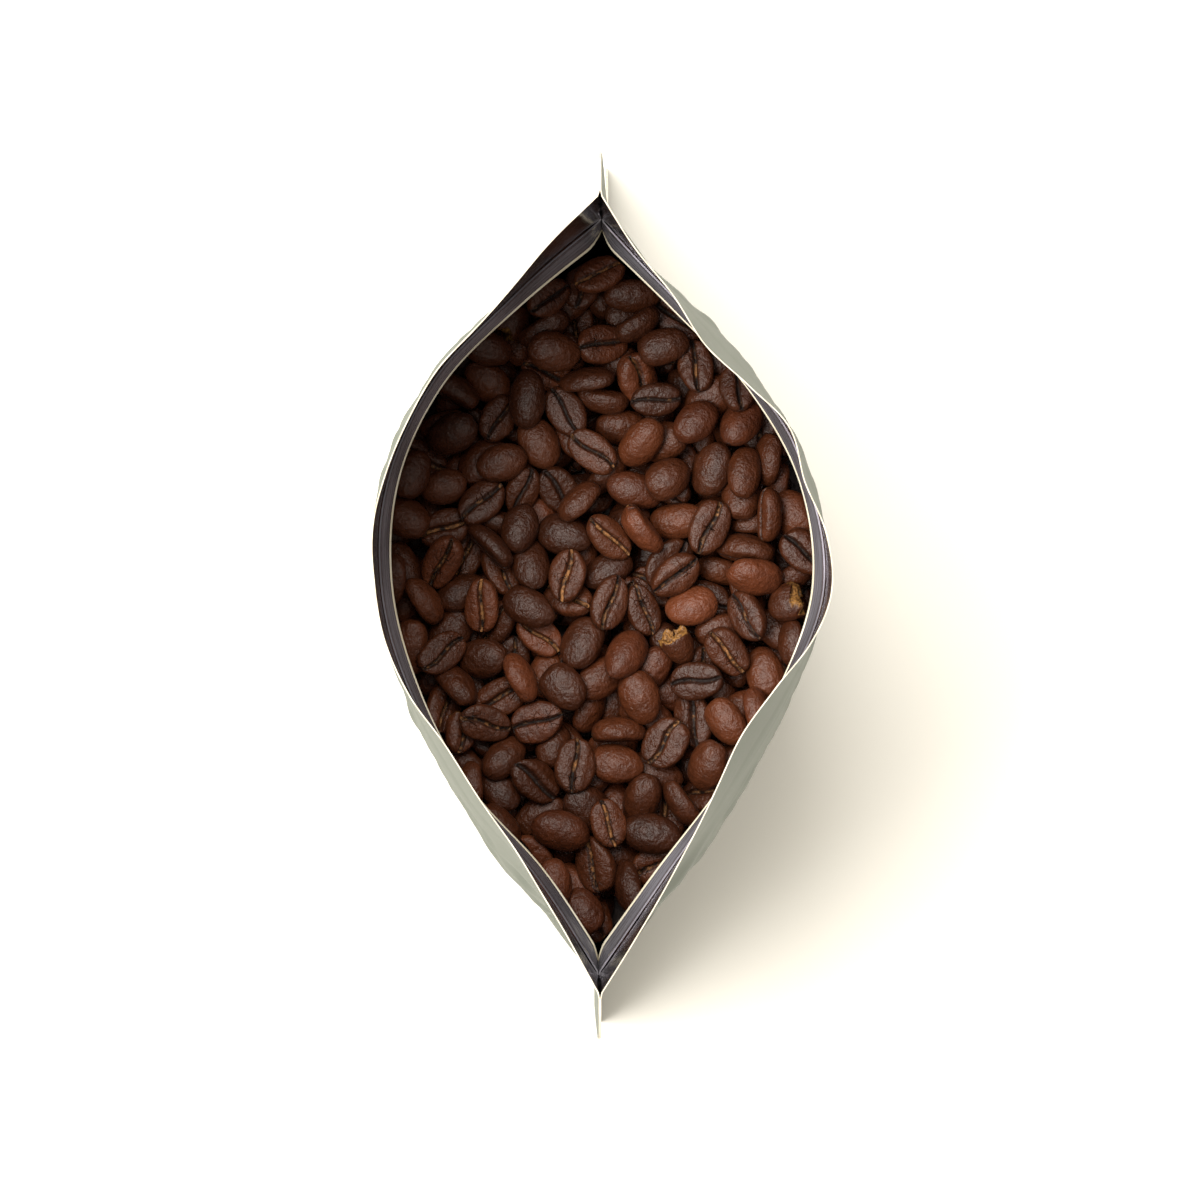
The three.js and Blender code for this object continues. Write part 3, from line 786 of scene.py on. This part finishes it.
# %% The pour
BEAN_COUNT = 345
BED_LEVEL = 183.5
FILL_LIMIT = 206
SETTLE = 0.6
BEAN_SEED = 20
FLAT_UP_SHARE = 0.42
ON_EDGE_SHARE = 0.18
EDGE_ROLL = 1.3
TIP = 0.6
SIZE_SPREAD = 0.11
SPOTS = 14
SLIDES = 8
SLIDE = 3
BED_X, BED_Y = 80, 50
CONTENT_GAP = 0.4
MOST_TRIES = 2000
OUTLINE_COLUMNS = 22
WALL_HEIGHT = 1000


def turned(roll, pitch, yaw):
    """The rotation matrix of a roll, then a pitch, then a yaw."""
    cr, sr, cp, sp = math.cos(roll), math.sin(roll), math.cos(pitch), math.sin(pitch)
    cy, sy = math.cos(yaw), math.sin(yaw)
    about_x = np.array([[1, 0, 0], [0, cr, -sr], [0, sr, cr]])
    about_y = np.array([[cp, 0, sp], [0, 1, 0], [-sp, 0, cp]])
    about_z = np.array([[cy, -sy, 0], [sy, cy, 0], [0, 0, 1]])
    return about_z @ about_y @ about_x


def faces_of(form, dx, dy):
    """The underside and the top of a turned ellipsoid over the points where it has them."""
    lean = form[0, 2] * dx + form[1, 2] * dy
    flat = form[0, 0] * dx * dx + 2 * form[0, 1] * dx * dy + form[1, 1] * dy * dy
    root = lean * lean - form[2, 2] * (flat - 1)
    half = np.sqrt(np.maximum(root, 0)) / form[2, 2]
    middle = -lean / form[2, 2]
    return root > 0, middle - half, middle + half


def inside_ring(ring, x, y):
    odd = np.zeros(x.shape, bool)
    for (ax, ay), (bx, by) in zip(ring, np.roll(ring, 1, axis=0)):
        if ay == by:
            continue
        crosses = (ay > y) != (by > y)
        odd ^= crosses & (x < ax + (bx - ax) / (by - ay) * (y - ay))
    return odd


def empty_bed():
    """Heights over the bag: level inside the film, and a wall everywhere else."""
    u = np.linspace(-1, 1, OUTLINE_COLUMNS + 1)
    front = np.stack(film_offset(FRONT, u, BED_LEVEL, -CONTENT_GAP), 1)
    back = np.stack(film_offset(BACK, u[::-1], BED_LEVEL, -CONTENT_GAP), 1)
    x, y = np.meshgrid(np.arange(-BED_X, BED_X + 1), np.arange(-BED_Y, BED_Y + 1), indexing="ij")
    return np.where(inside_ring(np.concatenate([front, back]), x, y), BED_LEVEL, WALL_HEIGHT)


def around(bed, bean_x, bean_y, reach):
    """The part of the bed within reach of a spot, and its distances from the spot."""
    i0, i1 = math.ceil(bean_x - reach + BED_X), math.floor(bean_x + reach + BED_X)
    j0, j1 = math.ceil(bean_y - reach + BED_Y), math.floor(bean_y + reach + BED_Y)
    if i0 < 0 or j0 < 0 or i1 >= bed.shape[0] or j1 >= bed.shape[1]:
        return None
    dx, dy = np.meshgrid(np.arange(i0, i1 + 1) - BED_X - bean_x,
                         np.arange(j0, j1 + 1) - BED_Y - bean_y, indexing="ij")
    return bed[i0:i1 + 1, j0:j1 + 1], dx, dy


def resting_height(bed, form, x, y, reach):
    found = around(bed, x, y, reach)
    if found is None:
        return WALL_HEIGHT
    heights, dx, dy = found
    there, under, _ = faces_of(form, dx, dy)
    return float(np.max(np.where(there, heights - under, -np.inf)))


def pour():
    """All the beans: place, half sizes and turn of each."""
    draw = seeded(BEAN_SEED)

    def spread(amount):
        return (draw() + draw() - 1) * amount

    bed = empty_bed()
    beans = []
    for _ in range(MOST_TRIES):
        if len(beans) == BEAN_COUNT:
            break
        size = 1 + spread(SIZE_SPREAD)
        half = [h * size * (1 + spread(SIZE_SPREAD)) for h in BEAN_HALF]
        face = draw()
        roll = spread(TIP)
        if face < FLAT_UP_SHARE:
            roll += math.pi
        elif face < FLAT_UP_SHARE + ON_EDGE_SHARE:
            roll += EDGE_ROLL if draw() < 0.5 else -EDGE_ROLL
        pitch = spread(TIP)
        best = None
        for attempt in range(SPOTS + SLIDES):
            if attempt < SPOTS:
                x, y, yaw = spread(BED_X), spread(BED_Y), draw() * 2 * math.pi
            else:
                x, y = best["x"] + spread(SLIDE), best["y"] + spread(SLIDE)
                yaw = best["yaw"] + spread(TIP)
            matrix = turned(roll, pitch, yaw)
            form = matrix @ np.diag([1 / h**2 for h in half]) @ matrix.T
            z = resting_height(bed, form, x, y, half[0])
            if best is None or z < best["z"]:
                best = {"x": x, "y": y, "z": z, "yaw": yaw, "form": form, "matrix": matrix}
        if best["z"] > FILL_LIMIT - BEAN_HALF[0]:
            continue
        bean = {**best, "z": best["z"] - SETTLE, "half": half}
        heights, dx, dy = around(bed, bean["x"], bean["y"], half[0])
        there, _, top = faces_of(bean["form"], dx, dy)
        heights[...] = np.where(there, np.maximum(heights, bean["z"] + top), heights)
        beans.append(bean)
    return beans, bed


beans, bed = pour()
inside = bed < FILL_LIMIT
print(f"poured {len(beans)} beans, mean height {bed[inside].mean():.1f} mm")


# %% How much of each bean shows
SEEN_FROM = 3


def mark_shown(beans, bed):
    for bean in beans:
        heights, dx, dy = around(bed, bean["x"], bean["y"], bean["half"][0])
        there, _, top = faces_of(bean["form"], dx, dy)
        bean["shows"] = int(np.sum(there & (bean["z"] + top > heights - 1e-6)))


mark_shown(beans, bed)
print("beans that show:", sum(bean["shows"] > SEEN_FROM for bean in beans))

# %% [markdown]
# ## Laying out the heap
# Each poured bean is a copy of one shape, stretched to its own half sizes and turned to its place.
# Beans at the wall are pressed flat against the film where they would poke through it. Copying mesh
# by mesh would be slow, so the copies' vertices and faces are worked out as arrays and become one
# mesh for each roast, as no batch roasts evenly. Beans that lie hidden get few faces. A few beans
# are broken, as some always are: the ones nearest to those of the photo.

# %% Room inside the film
# The gap is wider than the deepest crease, which dents the film inwards.
LEVEL_STEP = 6
FILM_LEVELS = np.arange(170, 226, LEVEL_STEP)
WALL_GAP = 1.7
WALL_STEPS = 241


def wall_tables():
    """For some levels, the film's inner face: y against x of the front and of the back."""
    u = np.linspace(-1, 1, WALL_STEPS)
    return [[film_offset(side, u, z, -WALL_GAP) for side in (FRONT, BACK)] for z in FILM_LEVELS]


WALLS = wall_tables()


def keep_inside(points):
    """Presses points that stick out through the film back to its inner face."""
    level = np.rint((points[:, 2] - FILM_LEVELS[0]) / LEVEL_STEP).astype(int)
    level = np.clip(level, 0, len(WALLS) - 1)
    for k in np.unique(level):
        here = level == k
        (front_x, front_y), (back_x, back_y) = WALLS[k]
        x = np.clip(points[here, 0], front_x[1], front_x[-2])
        points[here, 0] = x
        low, high = np.interp(x, front_x, front_y), np.interp(x, back_x, back_y)
        points[here, 1] = np.clip(points[here, 1], low, np.maximum(low, high))
    return points


print(f"film walls at {len(WALLS)} levels")

# %% Bean meshes
KINDS = (("beans_dark", 0.3), ("beans_medium", 0.6), ("beans_warm", 0.85), ("beans_light", 1.0))
WELL_SEEN_FROM = 12
HEAP_SEED = 77
BROKEN_NEAR = ((-1.4, -34.8), (-12.2, -15.4), (47.4, 16.0), (-27.2, 30.0))
MARKS = ("along", "away", "raw")


def shape_arrays(shape):
    """A bean shape as arrays: vertices, corner lists of the faces, face sizes, and its marks."""
    mesh = shape.data
    loops = np.empty(len(mesh.loops), int)
    mesh.loops.foreach_get("vertex_index", loops)
    sizes = np.empty(len(mesh.polygons), int)
    mesh.polygons.foreach_get("loop_total", sizes)
    marks = {}
    for name in MARKS:
        marks[name] = np.empty(len(mesh.vertices))
        mesh.attributes[name].data.foreach_get("value", marks[name])
    return corners(shape), loops, sizes, marks


def heap_mesh(name, members):
    """One mesh of many beans, with the marks of the shapes and each bean's own tone."""
    points, loops, sizes = [], [], []
    marks = {mark: [] for mark in (*MARKS, "tone")}
    start = 0
    for bean in members:
        shape, shape_loops, shape_sizes, shape_marks = bean["arrays"]
        placed = (shape * bean["half"]) @ bean["matrix"].T + [bean["x"], bean["y"], bean["z"]]
        points.append(keep_inside(placed) * MM)
        loops.append(shape_loops + start)
        sizes.append(shape_sizes)
        for mark in MARKS:
            marks[mark].append(shape_marks[mark])
        marks["tone"].append(np.full(len(shape), bean["tone"]))
        start += len(shape)
    loops, sizes = np.concatenate(loops), np.concatenate(sizes)
    mesh = bpy.data.meshes.new(name)
    mesh.vertices.add(start)
    mesh.vertices.foreach_set("co", np.concatenate(points).ravel())
    mesh.loops.add(len(loops))
    mesh.loops.foreach_set("vertex_index", loops)
    mesh.polygons.add(len(sizes))
    mesh.polygons.foreach_set("loop_start", np.concatenate([[0], np.cumsum(sizes)[:-1]]))
    mesh.polygons.foreach_set("use_smooth", np.ones(len(sizes), bool))
    mesh.update(calc_edges=True)
    piece = bpy.data.objects.new(name, mesh)
    bpy.context.scene.collection.objects.link(piece)
    for mark, values in marks.items():
        store(piece, mark, np.concatenate(values))
    print(f"{name}: {len(members)} beans, {int(np.sum(sizes - 2))} triangles")
    return piece


def lay_out_heap():
    draw = seeded(HEAP_SEED)
    fine, plain = ([shape_arrays(shape) for shape in group] for group in (shapes, plain_shapes))
    for bean in beans:
        kind = int(draw() * WHOLE_SHAPES)
        bean["arrays"] = fine[kind] if bean["shows"] > SEEN_FROM else plain[kind]
        bean["tone"], bean["roast"] = draw(), draw()
    seen = [bean for bean in beans if bean["shows"] > WELL_SEEN_FROM]
    for k, (x, y) in enumerate(BROKEN_NEAR):
        near = min(seen, key=lambda bean: math.hypot(bean["x"] - x, bean["y"] - y))
        near["arrays"] = fine[WHOLE_SHAPES + k % BROKEN_SHAPES]
    pieces = []
    low = 0.0
    for name, high in KINDS:
        pieces.append(heap_mesh(name, [bean for bean in beans if low <= bean["roast"] < high]))
        low = high
    for shape in (*shapes, *plain_shapes):
        bpy.data.objects.remove(shape)
    return pieces


heap = lay_out_heap()

# %% [markdown]
# ## The core
# Under the layers that show, the bag is full of coffee that nobody sees. One body of coffee stands
# for it, coloured darker than any bean as painted shade where it shows between them. It follows the
# film all round with a little air, and ends below the top beans.


# %% Core
CORE_COLUMNS, CORE_ROWS = 60, 40
CORE_REACH = 0.96
CORE_GAP = 2
CORE_RISE = 1.0
CORE_RIPPLE = 0.8
CORE_DEPTH = 20


def add_core():
    piece = flat_grid("coffee_core", CORE_COLUMNS, CORE_ROWS)
    flat = corners(piece)
    u, across = flat[:, 0] * CORE_REACH, (flat[:, 1] + 1) / 2
    top = BED_LEVEL + CORE_RISE
    front_x, front_y = film_offset(FRONT, u, top, -CORE_GAP)
    back_x, back_y = film_offset(BACK, u, top, -CORE_GAP)
    x, y = mix(front_x, back_x, across), mix(front_y, back_y, across)
    z = top + CORE_RIPPLE * np.sin(x * 0.7) * np.sin(y * 0.8)
    move_corners(piece, np.stack([x, y, z], 1) * MM)
    only(piece)
    bpy.ops.object.mode_set(mode="EDIT")
    bpy.ops.mesh.select_all(action="SELECT")
    bpy.ops.mesh.extrude_region_move(TRANSFORM_OT_translate={"value": (0, 0, -CORE_DEPTH * MM)})
    bpy.ops.mesh.select_all(action="SELECT")
    bpy.ops.mesh.normals_make_consistent(inside=False)
    bpy.ops.object.mode_set(mode="OBJECT")
    bpy.ops.object.shade_smooth_by_angle(angle=math.radians(40))
    print(f"core: {len(piece.data.polygons)} faces")
    return piece


core = add_core()

# %% [markdown]
# ## Finishes
# The film is a laminate: a matt sage grey face outside and a metallised face inside, with the raw
# cut showing as a thin pale line at the lip. The beans are a dark roast with a soft sheen, a
# wrinkled skin and scraps of pale gold skin left in the groove. The groove's edges, and its floor
# where no skin is left, are painted near black as painted shade.


# %% Film finishes
def film_outside():
    finish = Finish("film_outside")
    place = finish.place()
    grain = finish.noise(place, 700.0, 2.0)
    wave = finish.noise(place, 45.0, 3.0)
    colour = finish.blend(grain, rgb(98, 104, 95), rgb(108, 114, 104))
    return finish.surface(Base_Color=colour, Metallic=0.12, Roughness=0.48 + grain * 0.12,
                          Specular_IOR_Level=0.12,
                          Normal=finish.bump(wave + grain * 0.04, 0.0008, 0.3))


def film_inside():
    finish = Finish("film_inside")
    place = finish.place()
    wave = finish.noise(place, 70.0, 2.0)
    colour = finish.blend(wave.between(0.3, 0.7), rgb(112, 108, 112), rgb(134, 130, 136))
    return finish.surface(Base_Color=colour, Metallic=1.0, Roughness=0.14 + wave * 0.08,
                          Normal=finish.bump(wave, 0.0008, 0.5))


def film_edge():
    finish = Finish("film_edge")
    speck = finish.noise(finish.place(), 500.0)
    colour = finish.blend(speck.between(0.3, 0.7), rgb(186, 176, 156), rgb(214, 205, 186))
    return finish.surface(Base_Color=colour, Roughness=0.5)


fill_slots(pouch, film_outside(), film_inside(), film_edge())
print("film finishes:", [slot.name for slot in pouch.data.materials])


# %% Zipper finish
def zipper_plastic():
    finish = Finish("zipper_plastic")
    streak = finish.noise(finish.place(), 55.0, 2.0)
    colour = finish.blend(streak.between(0.3, 0.7), rgb(104, 101, 106), rgb(138, 136, 144))
    return finish.surface(Base_Color=colour, Metallic=0.45, Roughness=0.24,
                          Normal=finish.bump(streak, 0.0003, 0.4))


def zipper_bead_painted_highlight():
    finish = Finish("zipper_bead_painted_highlight")
    streak = finish.noise(finish.place(), 90.0, 2.0)
    # Pale cream, far lighter than the strip's plastic: a painted highlight where the bead's edge
    # catches the light.
    colour = finish.blend(streak.between(0.3, 0.7), rgb(214, 205, 180), rgb(240, 234, 214))
    return finish.surface(Base_Color=colour, Roughness=0.35)


plastic, bead_painted_highlight = zipper_plastic(), zipper_bead_painted_highlight()
for strip in (zipper_front, zipper_back):
    fill_slots(strip, plastic, bead_painted_highlight)
print("zipper finishes ready")


# %% Bean finishes
def roasted(name, dark, light):
    """Roasted skin between two browns, with cracks by the groove and pale gold skin inside it, and
    painted shade: near black along the groove's edges and on its floor where no skin is left.
    """
    finish = Finish(name)
    place = finish.place()
    tone, raw = finish.attribute("tone"), finish.attribute("raw")
    along, away = finish.attribute("along"), finish.attribute("away")
    own = finish.node("ShaderNodeCombineXYZ", 0, None, X=along, Y=away, Z=tone * 60)
    wrinkle = finish.noise(own, 2.6, 4.0, 0.55)
    pebble = finish.noise(place, 2300.0, 3.0, 0.6)
    ridge = finish.noise(place, 850.0, 3.0, 0.6)
    blotch = finish.noise(place, 330.0, 2.0)
    line = away + wrinkle * 0.12 - 0.06
    in_groove = 1 - line.between(0.055, 0.11)
    groove_edge_shade = line.between(0.07, 0.11) * (1 - line.between(0.13, 0.2))
    crazing = finish.node("ShaderNodeTexVoronoi", "Distance", {"feature": "DISTANCE_TO_EDGE"},
                          Vector=own, Scale=2.3)
    cracked = finish.noise(own, 1.1, 1.0).between(0.5, 0.62)
    cracks = (1 - crazing.between(0.0, 0.035)) * (1 - line.between(0.2, 0.6)) * cracked
    share = (blotch * 0.5 + wrinkle * 0.6 + tone * 0.45 - 0.42).between(0.0, 0.8)
    skin = finish.blend(share, dark, light)
    scraps = (finish.noise(place, 650.0, 3.0, 0.7) + tone * 0.25).between(0.6, 0.88)
    # Where no pale skin is left the groove floor is near black: painted shade in the recess.
    groove_shade_and_chaff = finish.blend(scraps, rgb(24, 12, 7), rgb(140, 96, 56))
    colour = finish.blend(in_groove, skin, groove_shade_and_chaff)
    # Near black along the groove's edges as painted shade, and in the cracks, which are the bean's own.
    colour = finish.blend((groove_edge_shade * 0.55 + cracks * 0.7).between(0.0, 1.0), colour, rgb(18, 9, 6))
    inner = finish.blend(pebble.between(0.35, 0.7), rgb(84, 54, 26), rgb(146, 104, 54))
    colour = finish.blend(raw, colour, inner)
    height = ridge + wrinkle * 0.7 + pebble * 0.3 - cracks * 0.8
    return finish.surface(Base_Color=colour, Roughness=0.29 + pebble * 0.2 + in_groove * 0.25,
                          Normal=finish.bump(height, 0.0005, 0.8), Specular_IOR_Level=0.28)


ROAST_COLOURS = (
    (rgb(43, 19, 7), rgb(66, 32, 15)),
    (rgb(47, 21, 8), rgb(72, 36, 18)),
    (rgb(53, 24, 9), rgb(80, 40, 20)),
    (rgb(59, 27, 12), rgb(90, 46, 25)),
)
for piece, (dark, light) in zip(heap, ROAST_COLOURS):
    piece.data.materials.append(roasted(piece.name + "_skin", dark, light))


def coffee_painted_shade():
    finish = Finish("coffee_core_painted_shade")
    crumb = finish.noise(finish.place(), 300.0, 3.0)
    # Darker than any bean: painted shade for the deep gaps between the top beans, where the core shows.
    colour = finish.blend(crumb, rgb(22, 12, 9), rgb(44, 26, 19))
    return finish.surface(Base_Color=colour, Roughness=0.7, Normal=finish.bump(crumb, 0.0006))


core.data.materials.append(coffee_painted_shade())
print("bean finishes ready")

# %% [markdown]
# ## Table and light
# The photo's background is burnt out to white, and the shadow lies only at the lower right, cut off
# above and below. That is the mark of two lights: each alone still burns the floor out, so it is
# darker only where the bag hides both. One soft light stands high at the picture's upper left, one
# at its lower left, and an even bright sky fills the rest.


# %% Table, lights and sky
def add_table():
    bpy.ops.object.select_all(action="DESELECT")
    bpy.ops.mesh.primitive_plane_add(size=12)
    table = bpy.context.object
    table.name = "table"
    finish = Finish("white_table")
    speck = finish.noise(finish.place(), 30.0)
    colour = finish.blend(speck, (0.9, 0.878, 0.82, 1), (0.91, 0.886, 0.828, 1))
    table.data.materials.append(finish.surface(Base_Color=colour, Roughness=0.8))


def add_light(name, place, size, power, colour=(1, 1, 1)):
    bpy.ops.object.light_add(type="AREA", location=place)
    light = bpy.context.object
    light.name = name
    light.data.size = size
    light.data.energy = power
    light.data.color = colour
    light.visible_camera = False
    aim = Vector((0, 0, 0.15)) - Vector(place)
    light.rotation_euler = aim.to_track_quat("-Z", "Y").to_euler()


def add_sky(strength, overhead, low):
    """An even sky that is a little darker towards the horizon."""
    world = bpy.data.worlds.new("studio")
    bpy.context.scene.world = world
    world.use_nodes = True
    tree = world.node_tree
    background = tree.nodes["Background"]
    background.inputs["Strength"].default_value = strength
    way = tree.nodes.new("ShaderNodeTexCoord")
    split = tree.nodes.new("ShaderNodeSeparateXYZ")
    tree.links.new(way.outputs["Generated"], split.inputs[0])
    up = Wire(tree, split.outputs["Z"]).between(0.0, 0.7)
    blend = tree.nodes.new("ShaderNodeMix")
    blend.data_type = "RGBA"
    tree.links.new(up.socket, blend.inputs["Factor"])
    blend.inputs["A"].default_value = (*low, 1)
    blend.inputs["B"].default_value = (*overhead, 1)
    tree.links.new(blend.outputs["Result"], background.inputs["Color"])


add_table()
add_light("upper_softbox", (0.85, 0.36, 2.1), 1.2, 58, (1, 0.97, 0.92))
add_light("lower_softbox", (-0.25, 0.95, 2.1), 0.9, 54, (1, 0.97, 0.92))
add_sky(0.8, (1.0, 0.94, 0.84), (0.62, 0.59, 0.54))
bpy.context.scene.view_settings.view_transform = "Standard"
print("stage and lights ready")

# %% [markdown]
# ## The pieces on the body
# Every piece rides on the bag's one body, and the solids of the model that the pieces stand in for are
# hidden.

# %% Ride and replace
pouch_slot, zipper_slot, coffee_slot = "film", "zipper", "coffee"
for piece, slot in ((pouch, pouch_slot), (zipper_front, zipper_slot), (zipper_back, zipper_slot),
                    (core, coffee_slot), *((piece, coffee_slot) for piece in heap)):
    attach(piece, "root")
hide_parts("pouch")
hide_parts("zipper_front")
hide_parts("zipper_back")
for piece in (core, *heap):
    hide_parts("coffee_beans")
